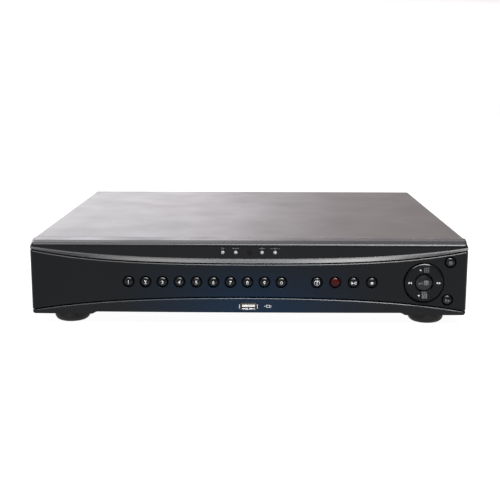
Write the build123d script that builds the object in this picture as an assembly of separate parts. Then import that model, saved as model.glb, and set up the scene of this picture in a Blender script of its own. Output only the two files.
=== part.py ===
from build123d import *
import math
import os

# A desktop digital video recorder. Millimetres, +Z up, front towards -Y, standing on z = 0.
# The origin is below the middle of the whole object, rear sockets included.

# Case. Heights are above a datum plane inside the feet; save() adds the datum's own height.
DATUM = 1.2
CASE_W = 380.0  # across the steel cover
CASE_D = 340.0  # front of the bezel to the rear panel
CASE_TOP = 70.0
SHEET = 1.0
REAR_REACH = 12.5  # how far the video sockets stand behind the rear panel
KEY_PROUD = 1.2  # how far the keys stand out of the face
FRONT = -(CASE_D + REAR_REACH - KEY_PROUD) / 2
REAR = FRONT + CASE_D
VENT_W = 2.6
FLOOR = 10.0  # underside of the base chassis
DECK = FLOOR + SHEET
INNER_X = CASE_W / 2 - SHEET

# Bezel
BEZEL_D = 28.3  # front to the seam with the cover
SEAM = 0.3
BOW = 2.2  # the front face bows this far forward in its middle
UPPER_SET = 4.0  # how far the upper band lies behind the middle of the face
KNEE_SET = 3.2  # the ledge below the upper band starts with a steeper strip back to this depth
KNEE_DROP = 1.0  # height of that strip
GROOVE = 1.0  # open gap above the panel
PANEL_GAP = 0.6  # and below it
WALL = 2.5
FACE_END = 187.0  # where the bow and the curves of the face are referred to
BEZEL_LOW = 7.0
BEZEL_RAISED = 9.0  # the underside is lifted between the feet
LIP_R = 3.2  # rounding of the top front edge
LIP_FALL = 1.3  # the top slopes down by this much to that edge
LIP_SLOPE = 10.0  # over this depth
SIDE_DRAFT = 1.4  # the bezel's ends are drawn in this far at the bottom
SKIN = 2.4  # thickness of the control panel
EDGE_BREAK = 0.75  # on the long edges of the panel and of the band below it
BACKING = 7.2  # inner face of the bezel's front wall

# Keys
KEY_Z = 35.95
KEY_R = 4.4
KEY_DOME = 2.4
KEY_GAP = 0.35
NUMBER_X = -103.6
NUMBER_PITCH = 14.66
FUNCTION_X = 58.9
FUNCTION_PITCH = 15.77
MENU_AT = (173.3, 53.7)
EXIT_AT = (171.9, 20.5)
NAV_AT = (151.2, 35.9)
NAV_R = 16.8
NAV_GAP = 0.4
NAV_CLEAR = 22.5  # radius of the bezel's opening behind the ring
ENTER_R = 7.3
ENTER_PROUD = 1.7
ENTER_DOME = 2.1
RIM_R = 0.5  # rounding of the rims of the keys
BOARD_FACE = FRONT + 15.0  # front of the key board
BOARD_T = 1.6
SWITCH_T = 3.5
PLUNGER_R = 1.75
PLUNGER_T = 1.4
PLUNGER_FRONT = BOARD_FACE - SWITCH_T - PLUNGER_T

# Status lamps
LAMP_Z = 61.3
LAMP_X = (-22.3, -11.05, 11.6, 22.8)
INFRARED_X = 0.9

# Front USB socket
USB_Z = 14.5
USB_W = 13.2
USB_H = 5.8
USB_SHEET = 0.35
USB_LIP = 0.2  # the shell's mouth is flared by this much

# Feet and screws
FOOT_X = 156.0
FOOT_FRONT_Y = FRONT + 17.0
FOOT_REAR_Y = REAR - 28.0
FOOT_R = 15.5
FOOT_TOP = BEZEL_LOW
FOOT_EDGE = 5.4  # rounding of the rim
FOOT_SEAT = 3.2  # where the screw's head rests
FOOT_STEP = (137.0, 131.0)  # between these the bezel's underside rises to its middle
SCREW_R = 1.5
SCREW_FIT = 0.05
HEAD_R = 2.8
HEAD_T = 1.8

# Rear sockets
BNC_R = 4.85
BNC_PITCH = 16.0
BNC_X = 62.0
BNC_ROWS = (29.5, 51.5)
BOARD_Z = 17.0  # underside of the main and power boards
BOARD_TOP = BOARD_Z + BOARD_T
VIDEO_OUT_AT = (0.0, 29.5)
RCA_AT = ((20.0, 29.5), (20.0, 51.5))
VGA_AT = (-24.0, 26.5)
LAN_AT = (-58.0, 25.75)
ALARM_X = (31.0, 51.0)
INLET_AT = (-165.0, 36.0)
ROCKER_AT = (-133.0, 36.0)
ROCKER_TILT = 8.0
FAN_AT = (-98.0, 38.0)
FAN_W = 40.0
FAN_T = 20.0
FAN_BACK = REAR - 2 * SHEET - 0.3

# Hard drive
DRIVE_X = (22.0, 169.0)
DRIVE_Y = (FRONT + 42.0, FRONT + 143.6)
DRIVE_Z = (17.0, 43.1)
DRIVE_MID_Y = (DRIVE_Y[0] + DRIVE_Y[1]) / 2


def block(xs, ys, zs):
    """A box between two limits on each axis."""
    low = [min(pair) for pair in (xs, ys, zs)]
    high = [max(pair) for pair in (xs, ys, zs)]
    middle = [(a + b) / 2 for a, b in zip(low, high)]
    size = [b - a for a, b in zip(low, high)]
    return Pos(*middle) * Box(*size)


def rod_x(y, z, radius, start, end):
    return Pos((start + end) / 2, y, z) * Rot(0, 90, 0) * Cylinder(radius, abs(end - start))


def rod_y(x, z, radius, start, end):
    return Pos(x, (start + end) / 2, z) * Rot(90, 0, 0) * Cylinder(radius, abs(end - start))


def rod_z(x, y, radius, start, end):
    return Pos(x, y, (start + end) / 2) * Cylinder(radius, abs(end - start))


def upright(y):
    """The plane of the front at depth y: its x is X and its y is Z."""
    return Plane(origin=(0, y, 0), x_dir=(1, 0, 0), z_dir=(0, -1, 0))


def raise_front(sketch, start, end):
    """A shape drawn on the front, extruded between two depths."""
    return extrude(upright(end) * sketch, amount=end - start)


def turned(profile, x, y, z):
    """A (radius, depth) outline turned round an axis along Y through (x, y, z)."""
    edges = Polyline(*profile, close=True)
    ring = revolve(make_face(Plane.XY * edges), Axis.Y, 360)
    return Pos(x, y, z) * Rot(0, 90, 0) * ring


def slab(xs, zs, radius, start, end):
    """A plate on the front with rounded corners."""
    sketch = RectangleRounded(xs[1] - xs[0], zs[1] - zs[0], radius)
    return raise_front(Pos((xs[0] + xs[1]) / 2, (zs[0] + zs[1]) / 2) * sketch, start, end)


def share(x):
    """Distance from the middle of the face, 1 at its ends."""
    return abs(x) / FACE_END


def face_y(x):
    """Depth of the bowed face at x."""
    return FRONT + BOW * share(x) ** 2


def ledge_back(x):
    """Where the sloping ledge meets the upper band."""
    return 55.7 + 5.7 * share(x) ** 2 + 4.5 * share(x) ** 4


def panel_top(x):
    return 51.45 + 3.9 * share(x) ** 2 + 7.5 * share(x) ** 4


def groove_top(x):
    return panel_top(x) + GROOVE


def ledge_z(x, depth):
    """Height of the ledge's lower slope at a depth behind the plane of the front.

    It runs from the knee down to just under the groove's top, where the face is bowed back."""
    knee = ledge_back(x) - KNEE_DROP
    run = KNEE_SET - BOW * share(x) ** 2
    fall = (knee - groove_top(x) + 0.3) / run
    return knee - fall * (KNEE_SET - depth)


def lower_band_top(x):
    return 22.0 - 7.6 * share(x) ** 2 - 4.4 * share(x) ** 4


def panel_bottom(x):
    return lower_band_top(x) + PANEL_GAP


def between(lower, upper, reach=200.0, steps=12):
    """The face between two curves z(x) on the front."""
    xs = [reach * (2 * i / steps - 1) for i in range(steps + 1)]
    low = Spline(*[(x, lower(x)) for x in xs])
    high = Spline(*[(x, upper(x)) for x in xs])
    left = Line((-reach, lower(-reach)), (-reach, upper(-reach)))
    right = Line((reach, lower(reach)), (reach, upper(reach)))
    return make_face([low, right, high, left])


def plan_prism(front, bow, corner, inset, back, zs):
    """The bezel's plan, with a bowed or straight front and rounded corners, as a prism."""
    side = CASE_W / 2 - inset
    turn = side - 1.6
    deep = FRONT + 16.0
    with BuildSketch() as plan:
        with BuildLine():
            Line((-side, back), (-side, deep))
            Line((-side, deep), (-turn, front + bow))
            if bow:
                ThreePointArc((-turn, front + bow), (0, front), (turn, front + bow))
            else:
                Line((-turn, front), (turn, front))
            Line((turn, front + bow), (side, deep))
            Line((side, deep), (side, back))
            Line((side, back), (-side, back))
        make_face()
        fillet(plan.vertices().filter_by(lambda v: v.Y < deep - 1), corner)
    return Pos(0, 0, zs[0]) * extrude(plan.sketch, amount=zs[1] - zs[0])


def bezel_outline():
    """The elevation of the bezel: sides drawn in towards the bottom, underside lifted in the middle."""
    top = CASE_W / 2
    low = top - SIDE_DRAFT
    outer, inner = FOOT_STEP
    with BuildSketch() as outline:
        with BuildLine():
            Line((-top, CASE_TOP), (-low, BEZEL_LOW))
            Line((-low, BEZEL_LOW), (-outer, BEZEL_LOW))
            Spline((-outer, BEZEL_LOW), (-inner, BEZEL_RAISED), tangents=((1, 0), (1, 0)))
            Line((-inner, BEZEL_RAISED), (inner, BEZEL_RAISED))
            Spline((inner, BEZEL_RAISED), (outer, BEZEL_LOW), tangents=((1, 0), (1, 0)))
            Line((outer, BEZEL_LOW), (low, BEZEL_LOW))
            Line((low, BEZEL_LOW), (top, CASE_TOP))
            Line((top, CASE_TOP), (-top, CASE_TOP))
        make_face()
        corners = outline.vertices().filter_by(lambda v: v.Y < BEZEL_LOW + 1 and abs(v.X) > 140)
        fillet(corners, 3.0)
    return outline.sketch


def save(name, *solids):
    """Write one node: a single solid, or a group of separate ones."""
    found = []
    for shape in solids:
        found += [Pos(0, 0, DATUM) * solid for solid in shape.solids()]
    whole = found[0] if len(found) == 1 else Compound(children=found)
    export_step(whole, os.path.join("parts", name + ".step"))


# ---- places that several pieces share ------------------------------------------------------

NUMBER_KEYS = [(NUMBER_X + NUMBER_PITCH * i, KEY_Z) for i in range(10)]
FUNCTION_KEYS = [(FUNCTION_X + FUNCTION_PITCH * i, KEY_Z) for i in range(4)]
SMALL_KEYS = NUMBER_KEYS + FUNCTION_KEYS + [MENU_AT, EXIT_AT]
KEY_NAMES = ["key_%d" % n for n in (1, 2, 3, 4, 5, 6, 7, 8, 9, 0)]
KEY_NAMES += ["key_info", "key_record", "key_play_pause", "key_stop", "key_menu", "key_exit"]

# Pushes of the navigation ring, two beside the frame's upright arms and two in line with its middle
NAV_POSTS = ((-4.5, 12.5), (4.5, -12.5), (-13.6, -3.8), (13.6, 3.8))
NAV_FACE = face_y(NAV_AT[0])
PIVOT_Y = NAV_FACE + 5.6
PIN_R = 0.9
PIN_FIT = 0.05
LUG_X = 2.4  # half width of the lugs that carry the ring's frame
LUG_Z = (17.6, 19.2)  # from the ring's axis
POST_GAP = 0.95  # between the ring's posts and the switches under them

KEY_BOARD_X = (-120.0, 183.0)
KEY_BOARD_Z = (15.6, 64.8)
KEY_BOARD_SCREWS = [(x, z) for x in (-115.0, -50.0, 49.0, 126.0) for z in (60.5, 19.5)]
KEY_BOARD_SCREWS += [(179.5, 35.5)]

MAIN_X = (-78.0, 183.0)
MAIN_Y = (REAR - 170.0, REAR - 5.0)
POWER_X = (-183.0, -104.0)
POWER_Y = (REAR - 160.0, REAR - 34.0)


EDGE_X = 5.0  # board screws from the sides and ends of the boards
EDGE_Y = 29.0


def corner_points(xs, ys):
    return [(x, y) for x in (xs[0] + EDGE_X, xs[1] - EDGE_X) for y in (ys[0] + EDGE_Y, ys[1] - EDGE_Y)]


STANDOFFS = corner_points(MAIN_X, MAIN_Y) + corner_points(POWER_X, POWER_Y)
DRIVE_SCREWS = [(DRIVE_X[0] + dx, DRIVE_MID_Y + dy) for dx in (44.0, 88.5) for dy in (-47.6, 47.6)]
FEET = [(x, y) for x in (-FOOT_X, FOOT_X) for y in (FOOT_FRONT_Y, FOOT_REAR_Y)]

COVER_SIDE_Y = (FRONT + 60.0, FRONT + 190.0, REAR - 14.0)
COVER_SIDE_Z = 18.0
COVER_REAR_X = (-150.0, 0.0, 150.0)
COVER_REAR_Z = 64.0
BEZEL_TABS = [(x, 24.0) for x in (-170.0, -20.0, 130.0)]
WALL_Y = FRONT + BEZEL_D + 1.0  # front face of the chassis' front wall


# ---- front -----------------------------------------------------------------------------------


def bezel():
    """The moulded front: upper band, sloping ledge, lower band, ends and a lip that meets the cover."""
    back = FRONT + BEZEL_D
    heights = (BEZEL_LOW, CASE_TOP)
    outline = raise_front(bezel_outline(), FRONT - 5, back)

    face = plan_prism(FRONT, BOW, 3.5, 0, back, heights)
    above_ledge = loft([
        upright(FRONT - 2.0) * between(lambda x: ledge_z(x, -2.0), lambda x: 90.0),
        upright(FRONT + KNEE_SET) * between(lambda x: ledge_z(x, KNEE_SET), lambda x: 90.0),
        upright(FRONT + UPPER_SET) * between(ledge_back, lambda x: 90.0),
        upright(back + 1.0) * between(ledge_back, lambda x: 90.0),
    ], ruled=True)
    lip = plan_prism(FRONT + UPPER_SET, 0, 3.5, 0, back, heights)
    edge = FRONT + UPPER_SET
    fall = LIP_FALL / LIP_SLOPE
    wedge = Polyline(
        (edge - 5.0, CASE_TOP - LIP_FALL - 5.0 * fall),
        (edge + LIP_SLOPE, CASE_TOP),
        (edge - 5.0, CASE_TOP + 1.0),
        close=True,
    )
    lip -= extrude(Plane.YZ * make_face(wedge), amount=CASE_W, both=True)
    rim = lip.edges().filter_by(lambda e: e.center().Y < edge + 0.1 and e.length > 300).sort_by(Axis.Z)[-1]
    lip = fillet(rim, LIP_R)
    shell = (face - above_ledge + lip) & outline

    hollow = plan_prism(FRONT + BACKING, 0, 3.0, WALL, back + 1, (FLOOR + 0.6, CASE_TOP - WALL))
    shell -= hollow

    recess = raise_front(between(lower_band_top, groove_top), FRONT - 2, FRONT + 14.0)
    recess -= plan_prism(FRONT + SKIN + 0.1, BOW, 2.0, WALL, FRONT + 30.0, (0, 80))
    shell -= recess
    long_edges = shell.edges().filter_by(lambda e: e.length > 300 and e.center().Y < FRONT + 1.5)
    shell = chamfer(long_edges.filter_by(lambda e: e.center().Z < KEY_Z), EDGE_BREAK)

    # window behind the keys, and clear space for the navigation ring and its lugs, hidden by the panel
    shell -= slab((-112.0, 118.0), (27.5, 44.0), 3.0, FRONT, FRONT + 12)
    covered = between(lambda x: panel_bottom(x) + 0.6, lambda x: panel_top(x) - 0.8)
    shell -= rod_y(*NAV_AT, NAV_CLEAR, FRONT, FRONT + 12) & raise_front(covered, FRONT - 1, FRONT + 13)
    for x, z in (MENU_AT, EXIT_AT):
        shell -= rod_y(x, z, KEY_R + 1.4, FRONT, FRONT + 12)

    # lamp lenses, infrared window and USB socket
    for x in LAMP_X:
        shell -= rod_y(x, LAMP_Z, 1.55, FRONT, FRONT + 12)
    shell -= rod_y(INFRARED_X, LAMP_Z, 2.05, FRONT, FRONT + 12)
    reach = USB_W / 2 + 0.8
    shell -= slab((-reach, reach), (USB_Z - 3.3, USB_Z + 3.4), 0.6, FRONT - 2, FRONT + 12)

    # bosses for the key board and tabs for the chassis
    for x, z in KEY_BOARD_SCREWS:
        shell += rod_y(x, z, 3.0, FRONT + BACKING - 1.0, BOARD_FACE)
        shell -= rod_y(x, z, SCREW_R + SCREW_FIT, FRONT + BACKING + 0.5, BOARD_FACE + 1)
    for x, z in BEZEL_TABS:
        shell += block((x - 5, x + 5), (BOARD_FACE + 4, WALL_Y), (FLOOR - 0.5, z + 5))
        shell -= rod_y(x, z, SCREW_R + SCREW_FIT, BOARD_FACE + 5, WALL_Y + 1)

    # feet screws enter the thick floor over the feet
    for x in (-FOOT_X, FOOT_X):
        shell += rod_z(x, FOOT_FRONT_Y, 4.5, BEZEL_LOW + 1, 15.0)
        shell -= rod_z(x, FOOT_FRONT_Y, SCREW_R + SCREW_FIT, 0, 13.5)
    return shell


def control_panel():
    """The hourglass plate set into the bezel, with a hole for each key."""
    plate = raise_front(between(panel_bottom, panel_top), FRONT - 2, FRONT + 12.0)
    plate &= plan_prism(FRONT, BOW, 3.5, 0, FRONT + 30.0, (0, 80))
    plate &= raise_front(bezel_outline(), FRONT - 5, FRONT + 20)
    plate -= plan_prism(FRONT + SKIN, BOW, 2.0, WALL - 0.2, FRONT + 30, (0, 80))
    front_edges = plate.edges().filter_by(lambda e: e.length > 300 and e.center().Y < FRONT + 1.5)
    plate = chamfer(front_edges, EDGE_BREAK)

    for x, z in SMALL_KEYS:
        y = face_y(x)
        dish = [(0, -2), (KEY_R + 1.6, -2), (KEY_R + 0.8, 0.35), (KEY_R + KEY_GAP, 1.0)]
        dish += [(KEY_R + KEY_GAP, 8), (0, 8)]
        plate -= turned(dish, x, y, z)
    nav_hole = [(0, -2), (NAV_R + 2.4, -2), (NAV_R + 1.0, 0.1), (NAV_R + NAV_GAP, 0.9)]
    nav_hole += [(NAV_R + NAV_GAP, 8), (0, 8)]
    plate -= turned(nav_hole, NAV_AT[0], NAV_FACE, NAV_AT[1])

    # lugs behind the plate carry the frame of the navigation ring above and below it
    x, z = NAV_AT
    for side in (-1, 1):
        near, far = (z + side * reach for reach in LUG_Z)
        plate += block((x - LUG_X, x + LUG_X), (NAV_FACE + 1.5, PIVOT_Y + 2.2), (near, far))
        plate -= rod_z(x, PIVOT_Y, PIN_R + PIN_FIT, near - side, far + side)
    return plate


def domed_push(x, z, radius, dome, front, outline):
    """A push with a domed face and a rounded rim, turned round its own axis; outline runs back from it."""
    rim = (radius, front + dome)
    curve = (radius ** 2 + dome ** 2) / (2 * dome)
    slope = math.asin(radius / curve) / 2
    middle = (curve * math.sin(slope), front + curve * (1 - math.cos(slope)))
    crown = ThreePointArc((0, front), middle, rim)
    rest = Polyline(rim, *outline, (0, outline[-1][1]), (0, front))
    half = make_face([crown, rest])
    corner = half.vertices().sort_by_distance(Vector(*rim))[0]
    return Pos(x, 0, z) * revolve(fillet(corner, RIM_R), Axis.Y, 360)


def plunger(x, z):
    """The button of a board switch, which its key carries in with it."""
    return rod_y(x, z, PLUNGER_R, PLUNGER_FRONT, BOARD_FACE - SWITCH_T + 1.0)


def key(x, z):
    """A domed cap with a retaining flange and stem, and the plunger of its push switch."""
    flange = face_y(x) + SKIN + 0.3
    outline = [(KEY_R, flange), (KEY_R + 1.1, flange), (KEY_R + 1.1, flange + 1.2), (1.6, flange + 1.2)]
    outline += [(1.6, PLUNGER_FRONT)]
    return domed_push(x, z, KEY_R, KEY_DOME, face_y(x) - KEY_PROUD, outline), plunger(x, z)


def enter_key():
    """The wide domed key in the middle of the navigation ring."""
    back = NAV_FACE + 3.0
    outline = [(ENTER_R, back), (1.8, back), (1.8, PLUNGER_FRONT)]
    front = NAV_FACE - ENTER_PROUD
    return domed_push(*NAV_AT, ENTER_R, ENTER_DOME, front, outline), plunger(*NAV_AT)


def nav_ring():
    """The four-way ring: a crowned annulus, bevelled behind, with lugs for the pins and four posts."""
    x, z = NAV_AT
    inner = ENTER_R + 0.7
    profile = [(inner, -0.4), (inner + 0.6, -0.9), (NAV_R - 1.6, -1.3), (NAV_R - 0.9, -1.05)]
    profile += [(NAV_R - 0.25, -0.4), (NAV_R, 0.4), (NAV_R, 0.9), (NAV_R - 2.1, 2.2), (inner, 2.2)]
    ring = turned(profile, x, NAV_FACE, z)
    for side in (-1, 1):
        ring += block((x + side * 13.2, x + side * 15.2), (NAV_FACE + 1.4, PIVOT_Y + 2.0), (z - 2.2, z + 2.2))
        ring -= rod_x(PIVOT_Y, z, PIN_R + PIN_FIT, x + side * 12, x + side * 15.8)
    rest = PLUNGER_FRONT - POST_GAP
    for dx, dz in NAV_POSTS:
        ring += rod_y(x + dx, z + dz, 1.4, NAV_FACE + 1.4, rest)
    return ring


def nav_frame():
    """The pivot frame: side pins carry the ring, upper and lower pins turn in the panel's lugs."""
    x, z = NAV_AT
    depth = (PIVOT_Y - 1.3, PIVOT_Y + 1.3)
    frame = rod_y(x, z, 10.6, *depth) - rod_y(x, z, ENTER_R + 1.0, PIVOT_Y - 2, PIVOT_Y + 2)
    for side in (-1, 1):
        frame += block((x - 1.6, x + 1.6), depth, (z + side * 9.8, z + side * 17.2))
        frame += rod_z(x, PIVOT_Y, PIN_R, z + side * 17.0, z + side * (LUG_Z[1] - 0.2))
        frame += block((x + side * 9.8, x + side * 12.8), depth, (z - 1.4, z + 1.4))
        frame += rod_x(PIVOT_Y, z, PIN_R, x + side * 12.6, x + side * 15.0)
    return frame


def key_board():
    board = slab(KEY_BOARD_X, KEY_BOARD_Z, 1.5, BOARD_FACE, BOARD_FACE + BOARD_T)
    board += slab((-14.0, 14.0), (10.9, 18.0), 1.0, BOARD_FACE, BOARD_FACE + BOARD_T)
    for x, z in KEY_BOARD_SCREWS:
        board -= rod_y(x, z, SCREW_R + 0.1, BOARD_FACE - 1, BOARD_FACE + 3)
    return board


def push_switch(x, z, with_plunger):
    """A 6 mm board switch; the plunger of a sprung key belongs to the key instead."""
    front = BOARD_FACE - SWITCH_T
    body = slab((x - 3, x + 3), (z - 3, z + 3), 0.4, front, BOARD_FACE)
    if with_plunger:
        return body + rod_y(x, z, PLUNGER_R, front - PLUNGER_T, front + 0.5)
    return body - rod_y(x, z, PLUNGER_R + 0.1, front - 1, front + 2.2)


def push_switches():
    switches = [push_switch(x, z, False) for x, z in SMALL_KEYS + [NAV_AT]]
    switches += [push_switch(NAV_AT[0] + dx, NAV_AT[1] + dz, True) for dx, dz in NAV_POSTS]
    return switches


def lens(x):
    """A light pipe from the face of the upper band to its lamp."""
    tip = FRONT + UPPER_SET - 0.4
    pipe = rod_y(x, LAMP_Z, 1.5, tip, BOARD_FACE - 1.3)
    pipe &= Pos(x, tip + 4.0, LAMP_Z) * Sphere(4.0) + rod_y(x, LAMP_Z, 3, tip + 1.0, BOARD_FACE)
    return pipe


def front_diodes():
    """The four lamps and the infrared receiver on the key board."""
    lamp_depth = (BOARD_FACE - 1.1, BOARD_FACE)
    found = [block((x - 1, x + 1), lamp_depth, (LAMP_Z - 0.7, LAMP_Z + 0.7)) for x in LAMP_X]
    middle = (INFRARED_X - 2.5, INFRARED_X + 2.5)
    return found + [block(middle, (BOARD_FACE - 5, BOARD_FACE), (LAMP_Z - 3, LAMP_Z + 3))]


def usb_shell():
    """The folded metal shell of the USB socket, open to the front."""
    w, h = USB_W / 2, USB_H / 2
    outer = slab((-w, w), (USB_Z - h, USB_Z + h), 0.5, FRONT + 0.3, BOARD_FACE)
    w, h = w + USB_LIP, h + USB_LIP
    outer += slab((-w, w), (USB_Z - h, USB_Z + h), 0.8, FRONT + 0.3, FRONT + 0.8)
    w, h = USB_W / 2, USB_H / 2
    w, h = w - USB_SHEET, h - USB_SHEET
    return outer - slab((-w, w), (USB_Z - h, USB_Z + h), 0.3, FRONT - 1, BOARD_FACE - 2.0)


def usb_tongue():
    """The plastic tongue inside the USB socket."""
    return block((-5.6, 5.6), (FRONT + 0.8, BOARD_FACE - 2.0), (USB_Z - 0.6, USB_Z + 1.7))


# ---- case ------------------------------------------------------------------------------------


def top_cover():
    """The folded steel cover: top, two skirts with vent slots, and its screw holes."""
    start = FRONT + BEZEL_D + SEAM
    outside = block((-CASE_W / 2, CASE_W / 2), (start, REAR), (FLOOR, CASE_TOP))
    bends = outside.edges().filter_by(Axis.Y).group_by(Axis.Z)[-1]
    outside = fillet(bends, 1.6)
    inside = block((-INNER_X, INNER_X), (start - 1, REAR - SHEET), (FLOOR - 1, CASE_TOP - SHEET))
    inside += block((-INNER_X, INNER_X), (REAR - 2, REAR + 1), (FLOOR - 1, COVER_REAR_Z - 6))
    cover = outside - inside
    for i in range(14):
        for z in (38.0, 52.0):
            y = FRONT + 205.0 + 8.0 * i
            slot = extrude(SlotOverall(10.0, VENT_W), amount=CASE_W, both=True)
            cover -= Pos(0, y, z) * Rot(0, 90, 0) * slot
    for side in (-1, 1):
        for y in COVER_SIDE_Y:
            cover -= rod_x(y, COVER_SIDE_Z, SCREW_R + 0.1, side * 180, side * 195)
    for x in COVER_REAR_X:
        cover -= rod_y(x, COVER_REAR_Z, SCREW_R + 0.1, REAR - 5, REAR + 5)
    return cover


def base_chassis():
    """The folded steel tray: floor, side flanges inside the cover, and a front wall behind the bezel."""
    edge = INNER_X - 0.1
    tray = block((-edge, edge), (WALL_Y, REAR - SHEET - 0.1), (FLOOR, DECK))
    for side in (-1, 1):
        tray += block((side * (edge - SHEET), side * edge), (WALL_Y, REAR - SHEET - 0.1), (FLOOR, 26.0))
        for y in COVER_SIDE_Y:
            tray -= rod_x(y, COVER_SIDE_Z, SCREW_R + SCREW_FIT, side * 180, side * 195)
    tray += block((-edge, edge), (WALL_Y, WALL_Y + SHEET), (FLOOR, 66.0))
    tray -= block((-74.0, -34.0), (WALL_Y - 1, WALL_Y + 3), (22.0, 46.0))
    for x, z in BEZEL_TABS:
        tray -= rod_y(x, z, SCREW_R + 0.1, WALL_Y - 1, WALL_Y + 3)

    # pressed pads over the rear feet
    for x in (-FOOT_X, FOOT_X):
        tray += rod_z(x, FOOT_REAR_Y, FOOT_R + 2.0, FOOT_TOP, FLOOR + 0.5)
        tray -= rod_z(x, FOOT_REAR_Y, FOOT_R + 1.0, FOOT_TOP + SHEET, DECK + 1)
        tray += rod_z(x, FOOT_REAR_Y, 3.2, FOOT_TOP + 0.5, 13.0)
        tray -= rod_z(x, FOOT_REAR_Y, SCREW_R + SCREW_FIT, FOOT_TOP - 1, 12.0)

    # standoffs for the boards and bosses under the drive
    for x, y in STANDOFFS:
        tray += rod_z(x, y, 3.0, FLOOR + 0.5, BOARD_Z)
        tray -= rod_z(x, y, SCREW_R + SCREW_FIT, FLOOR + 2.0, BOARD_Z + 1)
    for x, y in DRIVE_SCREWS:
        tray += rod_z(x, y, 4.0, FLOOR + 0.5, DRIVE_Z[0])
        tray -= rod_z(x, y, SCREW_R + 0.1, FLOOR - 1, DRIVE_Z[0] + 1)
        tray -= rod_z(x, y, HEAD_R + 0.3, FLOOR - 1, FLOOR + HEAD_T + 0.4)

    # floor vents under the drive
    slot = extrude(SlotOverall(40.0, VENT_W, rotation=90), amount=3, both=True)
    for i in range(9):
        tray -= Pos(DRIVE_X[0] + 62.0 + 6.0 * (i - 4), DRIVE_MID_Y, FLOOR) * slot
    return tray


def rear_panel():
    """The rear plate with its cut-outs, standing inside the cover."""
    across = (-INNER_X + 0.2, INNER_X - 0.2)
    fold = (COVER_REAR_Z - 12.0, COVER_REAR_Z - 6.2)
    inner_face = REAR - 2 * SHEET - 0.05
    panel = block(across, (REAR - SHEET, REAR), (FLOOR, fold[1]))
    panel += block(across, (inner_face, inner_face + SHEET), (fold[0], CASE_TOP - 1.2))
    panel += block(across, (inner_face, REAR - SHEET + 0.1), fold)
    for column in range(8):
        for z in BNC_ROWS:
            panel -= rod_y(BNC_X + BNC_PITCH * column, z, BNC_R + 1.6, REAR - 5, REAR + 5)
    panel -= rod_y(*VIDEO_OUT_AT, BNC_R + 1.6, REAR - 5, REAR + 5)
    for x, z in RCA_AT:
        panel -= rod_y(x, z, 5.2, REAR - 5, REAR + 5)
    cuts = [
        (VGA_AT, 31.6, 13.2), (LAN_AT, 16.8, 14.7),
        (INLET_AT, 27.6, 20.4), (ROCKER_AT, 19.4, 13.4),
    ]
    for (x, z), w, h in cuts:
        panel -= slab((x - w / 2, x + w / 2), (z - h / 2, z + h / 2), 0.8, REAR - 5, REAR + 5)
    panel -= block((ALARM_X[0] - 0.4, ALARM_X[1] + 0.4), (REAR - 5, REAR + 5), (BOARD_TOP, 36.2))
    for ring, holes in ((5.0, 6), (9.5, 12), (14.0, 18)):
        for i in range(holes):
            turn = 2 * math.pi * i / holes
            at = (FAN_AT[0] + ring * math.cos(turn), FAN_AT[1] + ring * math.sin(turn))
            panel -= rod_y(*at, 1.7, REAR - 5, REAR + 5)
    for dx in (-16, 16):
        for dz in (-16, 16):
            panel -= rod_y(FAN_AT[0] + dx, FAN_AT[1] + dz, SCREW_R + 0.1, REAR - 5, REAR + 5)
    for x in COVER_REAR_X:
        panel -= rod_y(x, COVER_REAR_Z, SCREW_R + SCREW_FIT, REAR - 5, REAR + 5)
    return panel


def foot():
    """A turned rubber foot with a well rounded rim and a sunk screw hole."""
    body = rod_z(0, 0, FOOT_R, -DATUM, FOOT_TOP)
    body = fillet(body.edges().sort_by(Axis.Z)[0], FOOT_EDGE)
    body -= rod_z(0, 0, SCREW_R + 0.1, 0, FOOT_TOP + 1)
    return body - rod_z(0, 0, 4.2, -DATUM - 1, FOOT_SEAT)


def screw(length, head_r=HEAD_R, head_t=HEAD_T):
    """A pan-head screw with a cross recess, head up, its seat at z = 0."""
    head = Pos(0, 0, head_t / 2) * Cylinder(head_r, head_t)
    head = fillet(head.edges().sort_by(Axis.Z)[-1], head_t * 0.45)
    body = head + Pos(0, 0, -length / 2) * Cylinder(SCREW_R, length)
    for angle in (0, 90):
        body -= Pos(0, 0, head_t) * Rot(0, 0, angle) * Box(head_r * 1.1, 0.6, 1.6)
    return body


FACE_DOWN = Rot(180, 0, 0)
FACE_REAR = Rot(-90, 0, 0)
FACE_RIGHT = Rot(0, 90, 0)
FACE_LEFT = Rot(0, -90, 0)


# ---- rear sockets ----------------------------------------------------------------------------


def bnc_places():
    places = [(BNC_X + BNC_PITCH * column, z) for column in range(8) for z in BNC_ROWS]
    return places + [VIDEO_OUT_AT]


def bnc_barrel(x, z):
    """The turned metal barrel of a video socket, with its flange and two bayonet lugs."""
    tip = REAR + REAR_REACH
    barrel = rod_y(x, z, BNC_R, REAR - 6.0, tip) - rod_y(x, z, 4.05, REAR - 7.0, tip + 1)
    barrel += rod_y(x, z, BNC_R + 1.4, REAR - 1.2, REAR + 1.0) - rod_y(x, z, BNC_R - 0.2, REAR - 2, REAR + 2)
    for side in (-1, 1):
        barrel += rod_x(tip - 4.6, z, 0.9, x + side * (BNC_R - 0.3), x + side * (BNC_R + 0.75))
    return barrel


def bnc_housing(x, zs):
    """The moulded block that carries one column of barrels, with an insulating spigot in each."""
    block_top = max(zs) + 7.5
    body = block((x - 7.4, x + 7.4), (REAR - 24.0, REAR - 2.3), (BOARD_TOP, block_top))
    for z in zs:
        body -= rod_y(x, z, BNC_R + 0.05, REAR - 6.05, REAR)
        body += rod_y(x, z, 2.4, REAR - 8.0, REAR + 7.5)
        body -= rod_y(x, z, 0.7, REAR + 2.5, REAR + 8)
    return body


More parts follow.
